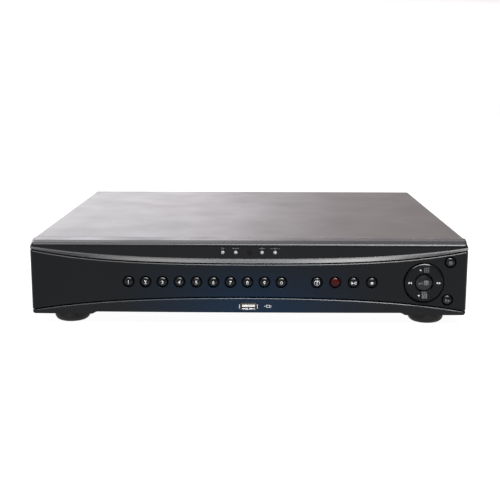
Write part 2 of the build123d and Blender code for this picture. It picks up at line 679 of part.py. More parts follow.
def rca_socket(x, z):
    """A phono socket: metal ring round an insulated core."""
    ring = rod_y(x, z, 4.15, REAR - 3.0, REAR + 8.5) - rod_y(x, z, 3.6, REAR - 4.0, REAR + 9)
    core = rod_y(x, z, 3.1, REAR - 3.0, REAR + 6.0) - rod_y(x, z, 1.65, REAR - 1.0, REAR + 7)
    return ring + core + rod_y(x, z, 4.9, REAR - 4.0, REAR + 0.8) - rod_y(x, z, 1.65, REAR - 1.0, REAR + 7)


def rca_block():
    x = RCA_AT[0][0]
    body = block((x - 6, x + 6), (REAR - 16.0, REAR - 4.0), (BOARD_TOP, RCA_AT[1][1] + 7))
    return body


def vga_socket():
    x, z = VGA_AT
    flange = slab((x - 15.4, x + 15.4), (z - 6.2, z + 6.2), 1.0, REAR - 1.6, REAR + 0.4)
    shell = slab((x - 8.2, x + 8.2), (z - 4.0, z + 4.0), 2.2, REAR, REAR + 6.0)
    shell -= slab((x - 7.8, x + 7.8), (z - 3.6, z + 3.6), 1.9, REAR + 0.4, REAR + 7)
    body = block((x - 15.0, x + 15.0), (REAR - 14.0, REAR - 1.0), (BOARD_TOP, z + 5.8))
    core = slab((x - 7.0, x + 7.0), (z - 2.8, z + 2.8), 1.5, REAR - 1.0, REAR + 5.0)
    for row, offset in ((1.9, 0.0), (0.0, -0.55), (-1.9, 0.0)):
        for i in range(5):
            core -= rod_y(x + 2.2 * (i - 2) + offset, z + row, 0.5, REAR + 1, REAR + 6)
    socket = flange + shell + body + core
    for side in (-1, 1):
        nut = extrude(RegularPolygon(2.6, 6), amount=2.2, both=True)
        socket += Pos(x + side * 12.5, REAR + 2.4, z) * Rot(90, 0, 0) * nut
        socket -= rod_y(x + side * 12.5, z, 1.2, REAR, REAR + 6)
    return socket


def lan_socket():
    x, z = LAN_AT
    body = block((x - 8.0, x + 8.0), (REAR - 20.0, REAR + 0.8), (BOARD_TOP, z + 7.1))
    body -= block((x - 5.9, x + 5.9), (REAR - 13.0, REAR + 2), (z - 3.4, z + 3.2))
    return body - block((x - 3.1, x + 3.1), (REAR - 13.0, REAR + 2), (z - 5.4, z - 3.3))


def alarm_terminal():
    """A pluggable screw terminal, two rows of wire entries."""
    body = block(ALARM_X, (REAR - 10.0, REAR + 6.0), (BOARD_TOP, 35.8))
    for row in (0, 1):
        for i in range(5):
            x = ALARM_X[0] + 2.0 + 4.0 * i
            z = 23.0 + 8.0 * row
            body -= block((x - 1.3, x + 1.3), (REAR + 1.0, REAR + 8), (z - 1.3, z + 1.3))
            body -= rod_y(x, z + 3.2, 1.0, REAR + 4.5, REAR + 8)
    return body


def mains_inlet():
    """The appliance inlet: flange, recess and three blades. The recess has two cut corners at its top."""
    x, z = INLET_AT
    flange = slab((x - 15.3, x + 15.3), (z - 12.2, z + 12.2), 2.0, REAR, REAR + 3.0)
    body = slab((x - 13.6, x + 13.6), (z - 10.0, z + 10.0), 1.0, REAR - 18.0, REAR + 0.5)
    recess = Polyline((-12, -8), (12, -8), (12, 3.4), (7.2, 8), (-7.2, 8), (-12, 3.4), close=True)
    inlet = flange + body
    inlet -= raise_front(Pos(x, z) * make_face(recess), REAR - 14.0, REAR + 5)
    for dx, dz in ((0, 3.6), (-7, -2.8), (7, -2.8)):
        inlet += block((x + dx - 1, x + dx + 1), (REAR - 15.0, REAR + 1.0), (z + dz - 2.0, z + dz + 2.0))
    return inlet


def rocker_housing():
    """The snap-in body of the mains switch, open at the rear, with bearings for the rocker's pins."""
    x, z = ROCKER_AT
    flange = slab((x - 10.8, x + 10.8), (z - 7.8, z + 7.8), 1.2, REAR, REAR + 1.8)
    body = slab((x - 9.5, x + 9.5), (z - 6.5, z + 6.5), 0.6, REAR - 15.0, REAR + 0.5)
    housing = flange + body
    housing -= slab((x - 8.2, x + 8.2), (z - 5.2, z + 5.2), 0.4, REAR - 11.0, REAR + 4)
    return housing - rod_z(x, REAR - 2.6, 1.05, z - 6.0, z + 6.0)


def power_rocker():
    """The rocker, resting on its left side."""
    x, z = ROCKER_AT
    profile = [(-7.4, 0.6), (-7.0, 4.6), (0, 3.2), (7.0, 4.6), (7.4, 0.6), (3.0, -2.2), (-3.0, -2.2)]
    body = Pos(0, 0, -4.8) * extrude(make_face(Polyline(*profile, close=True)), amount=9.6)
    body += Cylinder(1.0, 11.6)
    return Pos(x, REAR - 2.6, z) * Rot(0, 0, ROCKER_TILT) * body


def fan_frame():
    """The fan's square housing with struts that hold the motor's bush."""
    x, z = FAN_AT
    half = FAN_W / 2
    back = FAN_BACK
    front = back - FAN_T
    frame = slab((x - half, x + half), (z - half, z + half), 3.0, front, back)
    frame -= rod_y(x, z, half - 1.2, front - 1, back + 1)
    hub = rod_y(x, z, 8.0, front, front + 4.0)
    for angle in (45, 135, 225, 315):
        strut = Pos(half * 0.6, 0, 0) * Box(half * 0.95, 2.4, 2.0)
        hub += Pos(x, front + 1.2, z) * Rot(0, angle, 0) * strut
    frame += hub & rod_y(x, z, half, front, front + 5)
    frame -= rod_y(x, z, 1.05, front + 1.0, front + 5)
    for dx in (-16, 16):
        for dz in (-16, 16):
            frame -= rod_y(x + dx, z + dz, SCREW_R + SCREW_FIT, back - 12, back + 1)
    return frame


def fan_rotor():
    """The fan's hub, shaft and seven raked blades."""
    x, z = FAN_AT
    front = FAN_BACK - FAN_T
    rotor = rod_y(x, z, 7.8, front + 4.6, front + 16.0)
    for i in range(7):
        blade = Pos(12.3, 0, 0) * Rot(35, 0, 0) * Box(10.8, 12.0, 1.0)
        rotor += Pos(x, front + 10.4, z) * Rot(0, 360 * i / 7, 0) * blade
    return rotor + rod_y(x, z, 1.0, front + 1.4, front + 6.0)


# ---- inside ----------------------------------------------------------------------------------


def board(xs, ys):
    plate = block(xs, ys, (BOARD_Z, BOARD_TOP))
    for x, y in corner_points(xs, ys):
        plate -= rod_z(x, y, SCREW_R + 0.1, BOARD_Z - 1, BOARD_TOP + 1)
    return plate


def heat_sink(x, y):
    base = block((x - 20, x + 20), (y - 20, y + 20), (BOARD_TOP + 2.4, BOARD_TOP + 5.4))
    for i in range(9):
        fin = x - 19 + 4.75 * i - 0.5
        base += block((fin, fin + 1.0), (y - 20, y + 20), (BOARD_TOP + 5, BOARD_TOP + 17.4))
    return base


HEAT_SINK_AT = (-20.0, MAIN_Y[0] + 62.0)


def chips():
    """Processor under the heat sink, four memories and eight video decoders."""
    x, y = HEAT_SINK_AT
    found = [block((x - 15, x + 15), (y - 15, y + 15), (BOARD_TOP, BOARD_TOP + 2.4))]
    for i in range(4):
        row = y - 30 + 15 * i
        found.append(block((x + 30, x + 42), (row, row + 10), (BOARD_TOP, BOARD_TOP + 1.2)))
    for i in range(8):
        cx = BNC_X + BNC_PITCH * i
        found.append(block((cx - 5, cx + 5), (REAR - 48, REAR - 38), (BOARD_TOP, BOARD_TOP + 1.4)))
    return found


def capacitors():
    small_y = MAIN_Y[0] + 60.0
    found = [rod_z(80.0 + 14.0 * i, small_y, 4.0, BOARD_TOP, BOARD_TOP + 11.0) for i in range(6)]
    for y in (POWER_Y[0] + 18.0, POWER_Y[0] + 40.0):
        for x in (POWER_X[0] + 18.0, POWER_X[0] + 40.0):
            found.append(rod_z(x, y, 8.0, BOARD_TOP, BOARD_TOP + 25.0))
    return found


def transformer():
    x = (POWER_X[0] + POWER_X[1]) / 2 + 10
    y = POWER_Y[0] + 78.0
    core = block((x - 18, x + 18), (y - 9, y + 9), (BOARD_TOP + 3, BOARD_TOP + 29))
    winding = block((x - 12, x + 12), (y - 14, y + 14), (BOARD_TOP, BOARD_TOP + 26))
    return core + winding


def drive_casting():
    """The drive's body: a shallow round over the discs, and recesses below for its board and sockets."""
    left, right = DRIVE_X
    near, far = DRIVE_Y
    low, high = DRIVE_Z
    body = block(DRIVE_X, DRIVE_Y, DRIVE_Z)
    body = fillet(body.edges().filter_by(Axis.Z), 3.0)
    body -= rod_z(right - 55, DRIVE_MID_Y, 40, high - 0.5, high + 1)
    body -= block((left + 7.5, right - 10), (near + 8, far - 8), (low - 1, low + 4.0))
    body -= block((left - 1, left + 8), (near + 12, far - 12), (low - 1, low + 8.0))
    for x, y in DRIVE_SCREWS:
        body -= rod_z(x, y, SCREW_R + SCREW_FIT, low - 1, low + 6.0)
    return body


DATA_Y = DRIVE_Y[0] + 70.0
POWER_PLUG_Y = DRIVE_Y[0] + 44.0
POWER_HEADER_Y = POWER_Y[0] + 45.0
PLUG_Z = DRIVE_Z[0] + 4.0
PLUG_LENGTH = 10.0
DATA_HEADER = (-30.0, MAIN_Y[0] + 8.0)
RIBBON_X = (-66.0, -42.0)
RIBBON_HEADER_Z = 34.0


def drive_board():
    """The drive's circuit board with its data and power sockets."""
    left, right = DRIVE_X
    z = (DRIVE_Z[0] + 0.8, DRIVE_Z[0] + BOARD_T + 0.8)
    span = (POWER_PLUG_Y - 13, DATA_Y + 8)
    board = block((left + 11, right - 12), (DRIVE_Y[0] + 12, DRIVE_Y[1] - 12), z)
    board += block((left + 7.0, left + 12), span, z)
    return board + block((left + 2.0, left + 7.5), span, (PLUG_Z - 3.0, PLUG_Z + 3.0))


def headers():
    """Plugs and board headers at the ends of the cables."""
    key_side = BOARD_FACE + BOARD_T
    main_front = MAIN_Y[0]
    plug_x = (DRIVE_X[0] - PLUG_LENGTH, DRIVE_X[0] + 2.0)
    plug_z = (PLUG_Z - 2.6, PLUG_Z + 2.6)
    x, y = DATA_HEADER
    low_header = (BOARD_TOP, BOARD_TOP + 9.0)
    power_x = (POWER_X[1] - 16.0, POWER_X[1] - 6.0)
    return [
        block(RIBBON_X, (key_side, key_side + 6.0), (RIBBON_HEADER_Z - 3, RIBBON_HEADER_Z + 3)),
        block(RIBBON_X, (main_front + 2.0, main_front + 8.0), low_header),
        block(plug_x, (DATA_Y - 6, DATA_Y + 6), plug_z),
        block((x - 3, x + 3), (y - 6, y + 6), (BOARD_TOP, BOARD_TOP + 11.0)),
        block(plug_x, (POWER_PLUG_Y - 11, POWER_PLUG_Y + 11), plug_z),
        block(power_x, (POWER_HEADER_Y - 11, POWER_HEADER_Y + 11), low_header),
    ]


def bend_radii(points):
    """The largest arc at each corner that its two straight runs allow."""
    radii = []
    for before, corner, after in zip(points, points[1:], points[2:]):
        into = Vector(*corner) - Vector(*before)
        out = Vector(*after) - Vector(*corner)
        half = math.radians(into.get_angle(out)) / 2
        radii.append(0.45 * min(into.length, out.length) / math.tan(half))
    return radii


def flat_strip(points, thickness):
    """The flat outline of a strip that follows a route in a plane."""
    route = FilletPolyline(*points, radius=bend_radii([(a, b, 0) for a, b in points]))
    return trace(route, thickness)


def ribbon_cable():
    """A flat cable from the key board, through the front wall, down to the main board."""
    start = BOARD_FACE + BOARD_T + 6.0
    end = MAIN_Y[0] + 2.0
    low = BOARD_TOP + 5.0
    points = [(start, RIBBON_HEADER_Z), (start + 24, RIBBON_HEADER_Z), (start + 56, RIBBON_HEADER_Z + 4)]
    points += [(start + 92, RIBBON_HEADER_Z + 2), (end - 28, low + 2.5), (end - 14, low), (end, low)]
    strip = flat_strip(points, 0.9)
    plane = Plane(origin=(RIBBON_X[0] + 1.5, 0, 0), x_dir=(0, 1, 0), z_dir=(1, 0, 0))
    return extrude(plane * strip, amount=RIBBON_X[1] - RIBBON_X[0] - 3.0)


def data_cable():
    """A flat cable on edge, from the drive's plug back to the main board."""
    x, y = DATA_HEADER
    plug = DRIVE_X[0] - PLUG_LENGTH
    points = [(plug, DATA_Y), (plug - 16, DATA_Y), (x + 16, DATA_Y + 12), (x, y - 24), (x, y - 6)]
    return extrude(Plane.XY.offset(BOARD_TOP + 2.2) * flat_strip(points, 1.8), amount=6.0)


def tube(points, radius):
    route = FilletPolyline(*points, radius=bend_radii(points))
    heading = Vector(*points[1]) - Vector(*points[0])
    section = Plane(origin=points[0], z_dir=heading) * Circle(radius)
    return sweep(section, path=route)


def drive_power_cable():
    plug = DRIVE_X[0] - PLUG_LENGTH
    low = BOARD_TOP + 4.5
    header = POWER_X[1] - 6.0
    points = [(plug, POWER_PLUG_Y, PLUG_Z), (plug - 22, POWER_PLUG_Y, PLUG_Z)]
    points += [(plug - 52, POWER_PLUG_Y + 8, low), (plug - 84, POWER_PLUG_Y + 24, low)]
    points += [(header + 18, POWER_HEADER_Y, low), (header, POWER_HEADER_Y, low)]
    return tube(points, 2.0)


def inlet_wiring():
    """Pairs of insulated leads from the inlet and the rocker switch to the power board."""
    found = []
    for (x, z), back in ((INLET_AT, REAR - 18.0), (ROCKER_AT, REAR - 15.0)):
        for lead in (x - 3.0, x + 3.0):
            points = [(lead, back, z), (lead, back - 10, z)]
            points += [(lead, back - 22, z - 6), (lead, back - 22, BOARD_TOP)]
            found.append(tube(points, 1.4))
    return found


# ---- all the nodes ---------------------------------------------------------------------------

os.makedirs("parts", exist_ok=True)

save("front_bezel", bezel())
save("control_panel", control_panel())
for name, (x, z) in zip(KEY_NAMES, SMALL_KEYS):
    save(name, *key(x, z))
save("key_enter", *enter_key())
save("nav_ring", nav_ring())
save("nav_frame", nav_frame())
save("key_board", key_board())
save("push_switches", *push_switches())
save("lamp_lenses", *[lens(x) for x in LAMP_X])
save("infrared_window", rod_y(INFRARED_X, LAMP_Z, 2.0, FRONT + UPPER_SET - 0.1, FRONT + BACKING + 1))
save("front_diodes", *front_diodes())
save("front_usb_shell", usb_shell())
save("front_usb_tongue", usb_tongue())

save("top_cover", top_cover())
save("base_chassis", base_chassis())
save("rear_panel", rear_panel())
save("feet", *[Pos(x, y, 0) * foot() for x, y in FEET])
save("foot_screws", *[Pos(x, y, FOOT_SEAT) * FACE_DOWN * screw(8.0, 3.6, 1.6) for x, y in FEET])

side_screws = [
    Pos(side * CASE_W / 2, y, COVER_SIDE_Z) * turn * screw(6.0)
    for side, turn in ((1, FACE_RIGHT), (-1, FACE_LEFT)) for y in COVER_SIDE_Y
]
rear_screws = [Pos(x, REAR, COVER_REAR_Z) * FACE_REAR * screw(6.0) for x in COVER_REAR_X]
deck_screws = [Pos(x, y, BOARD_TOP) * screw(6.0) for x, y in STANDOFFS]
save("machine_screws", *side_screws, *rear_screws, *deck_screws)

board_back = BOARD_FACE + BOARD_T
key_board_screws = [Pos(x, board_back, z) * FACE_REAR * screw(7.0) for x, z in KEY_BOARD_SCREWS]
tab_screws = [Pos(x, WALL_Y + SHEET, z) * FACE_REAR * screw(7.0) for x, z in BEZEL_TABS]
fan_corners = [(FAN_AT[0] + dx, FAN_AT[1] + dz) for dx in (-16, 16) for dz in (-16, 16)]
fan_screws = [Pos(x, REAR, z) * FACE_REAR * screw(7.0) for x, z in fan_corners]
save("tapping_screws", *key_board_screws, *tab_screws, *fan_screws)
drive_seat = FLOOR + HEAD_T + 0.4
save("drive_screws", *[Pos(x, y, drive_seat) * FACE_DOWN * screw(9.0) for x, y in DRIVE_SCREWS])

save("bnc_barrels", *[bnc_barrel(x, z) for x, z in bnc_places()])
housings = [bnc_housing(BNC_X + BNC_PITCH * column, BNC_ROWS) for column in range(8)]
save("bnc_housings", *housings, bnc_housing(VIDEO_OUT_AT[0], VIDEO_OUT_AT[1:]))
save("audio_sockets", rca_block(), *[rca_socket(x, z) for x, z in RCA_AT])
save("vga_socket", vga_socket())
save("network_socket", lan_socket())
save("alarm_terminal", alarm_terminal())
save("mains_inlet", mains_inlet())
save("rocker_housing", rocker_housing())
save("power_rocker", power_rocker())
save("fan_frame", fan_frame())
save("fan_rotor", fan_rotor())

save("main_board", board(MAIN_X, MAIN_Y))
save("power_board", board(POWER_X, POWER_Y))
save("heat_sink", heat_sink(*HEAT_SINK_AT))
save("chips", *chips())
save("capacitors", *capacitors())
save("transformer", transformer())
save("drive_casting", drive_casting())
save("drive_board", drive_board())
save("wire_headers", *headers())
save("ribbon_cable", ribbon_cable())
save("data_cable", data_cable())
save("drive_power_cable", drive_power_cable())
save("inlet_wiring", *inlet_wiring())
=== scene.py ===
"""The looks of a desktop digital video recorder, built round its CAD frame. Metres, +Z up, front at -Y."""

import math

import bmesh
import bpy
from mathutils import Matrix, Vector
from mathutils.bvhtree import BVHTree


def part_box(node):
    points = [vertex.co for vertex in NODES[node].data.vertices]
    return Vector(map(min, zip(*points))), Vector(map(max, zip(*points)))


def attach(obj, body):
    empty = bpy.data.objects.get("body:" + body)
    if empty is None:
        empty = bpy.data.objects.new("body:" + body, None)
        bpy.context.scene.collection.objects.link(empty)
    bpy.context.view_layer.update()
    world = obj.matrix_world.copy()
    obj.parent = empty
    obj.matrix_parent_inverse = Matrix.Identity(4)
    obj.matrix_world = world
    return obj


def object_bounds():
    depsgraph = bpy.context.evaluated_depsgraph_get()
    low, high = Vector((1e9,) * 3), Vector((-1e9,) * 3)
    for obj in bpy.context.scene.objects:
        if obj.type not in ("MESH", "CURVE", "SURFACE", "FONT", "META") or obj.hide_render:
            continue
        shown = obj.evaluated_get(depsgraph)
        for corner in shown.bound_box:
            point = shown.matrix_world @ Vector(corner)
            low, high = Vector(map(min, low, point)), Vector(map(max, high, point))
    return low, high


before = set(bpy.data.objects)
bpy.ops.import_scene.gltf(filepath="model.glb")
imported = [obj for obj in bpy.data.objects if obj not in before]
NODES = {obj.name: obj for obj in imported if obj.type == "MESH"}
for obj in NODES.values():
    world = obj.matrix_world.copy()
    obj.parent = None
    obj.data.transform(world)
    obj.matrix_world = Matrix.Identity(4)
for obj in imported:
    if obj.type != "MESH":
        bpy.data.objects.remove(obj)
cad_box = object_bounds()
BODY = "recorder"
MM = 0.001


# ---- shader building -------------------------------------------------------------------------


class Tree:
    """A material's node tree with short calls for the nodes used here."""

    def __init__(self, name):
        self.material = bpy.data.materials.new(name)
        self.material.use_nodes = True
        self.nodes = self.material.node_tree.nodes
        self.links = self.material.node_tree.links
        self.shader = self.nodes["Principled BSDF"]
        self.place = self.nodes.new("ShaderNodeTexCoord").outputs["Object"]

    def link(self, source, target):
        self.links.new(source, target)

    def noise(self, size, detail=3.0, stretch=(1, 1, 1), roughness=0.5):
        """Noise whose features are about size metres across, drawn out along an axis by stretch."""
        scaled = self.nodes.new("ShaderNodeMapping")
        scaled.inputs["Scale"].default_value = [1 / (size * s) for s in stretch]
        self.link(self.place, scaled.inputs["Vector"])
        texture = self.nodes.new("ShaderNodeTexNoise")
        texture.inputs["Scale"].default_value = 1.0
        texture.inputs["Detail"].default_value = detail
        texture.inputs["Roughness"].default_value = roughness
        self.link(scaled.outputs["Vector"], texture.inputs["Vector"])
        return texture.outputs["Fac"]

    def spread(self, value, low, high, start=0.3, end=0.7):
        """Maps a 0 to 1 value onto a range, steeper than the noise itself."""
        node = self.nodes.new("ShaderNodeMapRange")
        node.inputs["From Min"].default_value = start
        node.inputs["From Max"].default_value = end
        node.inputs["To Min"].default_value = low
        node.inputs["To Max"].default_value = high
        self.link(value, node.inputs["Value"])
        return node.outputs["Result"]

    def mix(self, factor, first, second):
        """A colour between two, each a tuple or a socket."""
        node = self.nodes.new("ShaderNodeMix")
        node.data_type = "RGBA"
        self.link(factor, node.inputs["Factor"])
        for socket, colour in ((node.inputs["A"], first), (node.inputs["B"], second)):
            if isinstance(colour, tuple):
                socket.default_value = (*colour, 1.0)
            else:
                self.link(colour, socket)
        return node.outputs["Result"]

    def math(self, operation, first, second):
        node = self.nodes.new("ShaderNodeMath")
        node.operation = operation
        for socket, value in zip(node.inputs, (first, second)):
            if isinstance(value, (int, float)):
                socket.default_value = value
            else:
                self.link(value, socket)
        return node.outputs["Value"]

    def rounded(self, radius):
        """A normal that reads sharp edges as rounded by a radius."""
        node = self.nodes.new("ShaderNodeBevel")
        node.samples = 6
        node.inputs["Radius"].default_value = radius
        return node.outputs["Normal"]

    def edges(self, radius):
        """About 1 along the edges of the piece and 0 on its faces."""
        dot = self.nodes.new("ShaderNodeVectorMath")
        dot.operation = "DOT_PRODUCT"
        self.link(self.rounded(radius), dot.inputs[0])
        self.link(self.nodes.new("ShaderNodeNewGeometry").outputs["Normal"], dot.inputs[1])
        return self.spread(dot.outputs["Value"], 1.0, 0.0, 0.72, 0.985)

    def blush(self):
        """Painted reflection mask: about 1 low in the middle of the front, fading out to its sides and
        upwards.
        """
        axes = self.nodes.new("ShaderNodeSeparateXYZ")
        self.link(self.place, axes.inputs["Vector"])
        across = self.spread(self.math("ABSOLUTE", axes.outputs["X"], 0.0), 1.0, 0.0, 0.015, 0.115)
        return self.math("MULTIPLY", across, self.spread(axes.outputs["Z"], 1.0, 0.0, 0.016, 0.060))

    def bump(self, height, depth, normal=None):
        node = self.nodes.new("ShaderNodeBump")
        node.inputs["Distance"].default_value = depth
        self.link(height, node.inputs["Height"])
        if normal is not None:
            self.link(normal, node.inputs["Normal"])
        return node.outputs["Normal"]


def tint(colour, factor):
    return tuple(min(1.0, c * factor) for c in colour)


BLOTCH = 0.05  # how far the roughness of a material wanders either way


def surface(name, colour, rough, vary=0.12, patch=0.03, grain=0.0005, depth=0.00001, metal=0.0,
            specular=0.5, bevel=0.0003, wear=0.0, worn=None, drawn=(1, 1, 1)):
    """A solid material with patchy colour and gloss, a fine grain, soft edges and light edge wear."""
    tree = Tree(name)
    patches = tree.noise(patch, 4.0, drawn)
    grains = tree.noise(grain, 2.0, drawn)
    base = tree.mix(tree.spread(patches, 0.0, 1.0), tint(colour, 1 - vary), tint(colour, 1 + vary))
    if wear:
        scuffs = tree.spread(tree.noise(0.004, 5.0), 0.0, 1.0, 0.42, 0.62)
        amount = tree.math("MULTIPLY", tree.math("MULTIPLY", tree.edges(bevel * 1.6), scuffs), wear)
        base = tree.mix(amount, base, worn or tint(colour, 3.0))
    tree.link(base, tree.shader.inputs["Base Color"])
    smudges = tree.spread(tree.noise(patch * 0.6, 5.0), rough - BLOTCH, rough + BLOTCH)
    tree.link(smudges, tree.shader.inputs["Roughness"])
    tree.link(tree.bump(grains, depth, tree.rounded(bevel)), tree.shader.inputs["Normal"])
    tree.shader.inputs["Metallic"].default_value = metal
    tree.shader.inputs["Specular IOR Level"].default_value = specular
    return tree.material


def cover_paint():
    """Dark satin paint on steel: a fine orange peel, faint dust and long soft changes of gloss."""
    tree = Tree("cover_paint")
    cloud = tree.noise(0.11, 5.0, (1.4, 1.0, 1.0))
    base = tree.mix(tree.spread(cloud, 0.0, 1.0), (0.0042, 0.0034, 0.0033), (0.0062, 0.0052, 0.0050))
    dust = tree.spread(tree.noise(0.0009, 2.0), 0.0, 0.35, 0.66, 0.78)
    base = tree.mix(dust, base, (0.04, 0.038, 0.036))
    tree.link(base, tree.shader.inputs["Base Color"])
    tree.link(tree.spread(tree.noise(0.05, 5.0), 0.30, 0.36), tree.shader.inputs["Roughness"])
    peel = tree.bump(tree.noise(0.0011, 2.0), 0.000006, tree.rounded(0.0008))
    tree.link(peel, tree.shader.inputs["Normal"])
    tree.shader.inputs["Specular IOR Level"].default_value = 0.5
    return tree.material


# painted reflection: a blue tint in the front plastic's colour, low in the middle, standing in for a coloured
# reflection
FRONT_PAINTED_REFLECTION_BLUE = (0.0002, 0.0088, 0.0240)


def front_plastic(name, colour, rough, specular):
    """Black moulded ABS with a very fine spark-eroded grain, a little handling sheen and a painted blue
    reflection low in the middle of its front.
    """
    tree = Tree(name)
    base = tree.mix(tree.spread(tree.noise(0.06, 4.0), 0.0, 1.0), tint(colour, 0.9), tint(colour, 1.12))
    # painted reflection: the blue tint mixed in low in the middle of the front
    base = tree.mix(tree.blush(), base, FRONT_PAINTED_REFLECTION_BLUE)
    lint = tree.spread(tree.noise(0.0012, 3.0), 0.0, 0.25, 0.70, 0.80)
    base = tree.mix(lint, base, (0.06, 0.06, 0.062))
    tree.link(base, tree.shader.inputs["Base Color"])
    tree.link(tree.spread(tree.noise(0.03, 5.0), rough - 0.04, rough + 0.05), tree.shader.inputs["Roughness"])
    grain = tree.bump(tree.noise(0.00035, 2.0), 0.000004, tree.rounded(0.0004))
    tree.link(grain, tree.shader.inputs["Normal"])
    tree.shader.inputs["Specular IOR Level"].default_value = specular
    return tree.material


def galvanised():
    """Zinc-coated sheet with its mottled spangle."""
    tree = Tree("galvanised_sheet")
    cells = tree.nodes.new("ShaderNodeTexVoronoi")
    cells.inputs["Scale"].default_value = 130.0
    tree.link(tree.place, cells.inputs["Vector"])
    tone = tree.nodes.new("ShaderNodeRGBToBW")
    tree.link(cells.outputs["Color"], tone.inputs["Color"])
    grey = tree.mix(tone.outputs["Val"], (0.42, 0.43, 0.45), (0.60, 0.61, 0.62))
    tree.link(grey, tree.shader.inputs["Base Color"])
    tree.link(tree.spread(tone.outputs["Val"], 0.30, 0.48, 0.0, 1.0), tree.shader.inputs["Roughness"])
    mottle = tree.bump(tree.noise(0.0008, 2.0), 0.000004, tree.rounded(0.0004))
    tree.link(mottle, tree.shader.inputs["Normal"])
    tree.shader.inputs["Metallic"].default_value = 1.0
    return tree.material


def circuit_board():
    """Green solder mask over a raised pattern of tracks."""
    tree = Tree("solder_mask")
    bricks = tree.nodes.new("ShaderNodeTexBrick")
    bricks.inputs["Scale"].default_value = 160.0
    bricks.inputs["Mortar Size"].default_value = 0.06
    tree.link(tree.place, bricks.inputs["Vector"])
    tracks = tree.mix(bricks.outputs["Fac"], (0.010, 0.09, 0.035), (0.02, 0.17, 0.06))
    tree.link(tracks, tree.shader.inputs["Base Color"])
    tree.link(tree.spread(tree.noise(0.004), 0.25, 0.4), tree.shader.inputs["Roughness"])
    tree.link(tree.bump(bricks.outputs["Fac"], 0.00003), tree.shader.inputs["Normal"])
    return tree.material


def clear_lens():
    """Milky light pipe: whitish plastic that lets some light through."""
    tree = Tree("lamp_lens")
    base = tree.mix(tree.noise(0.0008), (0.17, 0.175, 0.185), (0.28, 0.285, 0.30))
    tree.link(base, tree.shader.inputs["Base Color"])
    tree.link(tree.spread(tree.noise(0.001), 0.16, 0.26), tree.shader.inputs["Roughness"])
    tree.link(tree.bump(tree.noise(0.0004), 0.00001), tree.shader.inputs["Normal"])
    tree.shader.inputs["Coat Weight"].default_value = 0.4
    return tree.material


# ---- materials of the CAD nodes --------------------------------------------------------------

PAINT = cover_paint()
BEZEL = front_plastic("bezel_plastic", (0.0034, 0.0038, 0.0048), 0.28, 0.16)
PANEL = front_plastic("panel_plastic", (0.0030, 0.0036, 0.0044), 0.30, 0.13)
KEYS = surface("key_plastic", (0.0026, 0.0030, 0.0036), 0.24, grain=0.0004, depth=0.000003, specular=0.22,
               wear=0.15, worn=(0.02, 0.02, 0.023))
RING = surface("ring_plastic", (0.0026, 0.0030, 0.0036), 0.20, grain=0.0004, depth=0.000003, specular=0.13,
               wear=0.15, worn=(0.02, 0.02, 0.023))
ENTER = surface("enter_plastic", (0.0028, 0.0032, 0.0038), 0.31, grain=0.0004, depth=0.000003, specular=0.34,
                wear=0.15, worn=(0.02, 0.02, 0.023))
RED_KEY = surface("record_red", (0.026, 0.0022, 0.0026), 0.20, vary=0.18, patch=0.004, grain=0.0004,
                  depth=0.000003, specular=0.13)
RUBBER = surface("foot_rubber", (0.0055, 0.0055, 0.0055), 0.55, vary=0.25, patch=0.006, grain=0.0007,
                 depth=0.00003, specular=0.2, bevel=0.0006, wear=0.4, worn=(0.02, 0.02, 0.02))
ZINC = galvanised()
MASK = circuit_board()
BLACK = surface("black_moulding", (0.016, 0.016, 0.017), 0.42, grain=0.0005, depth=0.00001, wear=0.3)
WHITE = surface("white_moulding", (0.66, 0.66, 0.65), 0.38, vary=0.06, patch=0.006, specular=0.5)
GREEN = surface("terminal_green", (0.02, 0.22, 0.07), 0.36, patch=0.008)
SMOKE = surface("infrared_plastic", (0.003, 0.002, 0.003), 0.08, vary=0.2, depth=0.000001, specular=0.12)
NICKEL = surface("nickel_plate", (0.66, 0.63, 0.58), 0.22, vary=0.06, patch=0.005, metal=1.0,
                 drawn=(1, 0.3, 1), wear=0.3, worn=(0.75, 0.72, 0.66))
USB_STEEL = surface("usb_shell", (0.14, 0.14, 0.15), 0.34, vary=0.08, patch=0.003, metal=1.0, wear=0.3,
                    worn=(0.55, 0.55, 0.56))
STEEL = surface("screw_steel", (0.50, 0.50, 0.51), 0.30, vary=0.1, patch=0.003, metal=1.0, wear=0.3,
                worn=(0.7, 0.7, 0.7))
ALUMINIUM = surface("extruded_aluminium", (0.68, 0.68, 0.69), 0.34, metal=1.0, drawn=(1, 8, 1))
CASTING = surface("cast_aluminium", (0.50, 0.50, 0.51), 0.48, metal=1.0, grain=0.0009, depth=0.00004)
WINDING = surface("winding_tape", (0.55, 0.40, 0.06), 0.34, patch=0.01)
GREY_CABLE = surface("grey_cable", (0.34, 0.34, 0.36), 0.5, drawn=(0.05, 1, 1), patch=0.02)
RED_CABLE = surface("red_cable", (0.40, 0.03, 0.025), 0.42, drawn=(1, 1, 0.1))
# spring tabs: real parts, but pale white instead of plated steel, as a painted reflection low in the socket's
# shell
PAINTED_REFLECTION_TAB = surface("spring_tab_painted_reflection", (0.72, 0.72, 0.74), 0.40, vary=0.06, patch=0.004)
GOLD = surface("gold_contact", (0.34, 0.28, 0.18), 0.34, vary=0.08, patch=0.002, metal=1.0)
INK = surface("white_ink", (0.46, 0.47, 0.49), 0.55, vary=0.10, patch=0.0012, grain=0.0003, depth=0.000004)
GREY_INK = surface("grey_ink", (0.11, 0.113, 0.12), 0.55, vary=0.12, patch=0.0012, grain=0.0003,
                   depth=0.000004)
LENS = clear_lens()

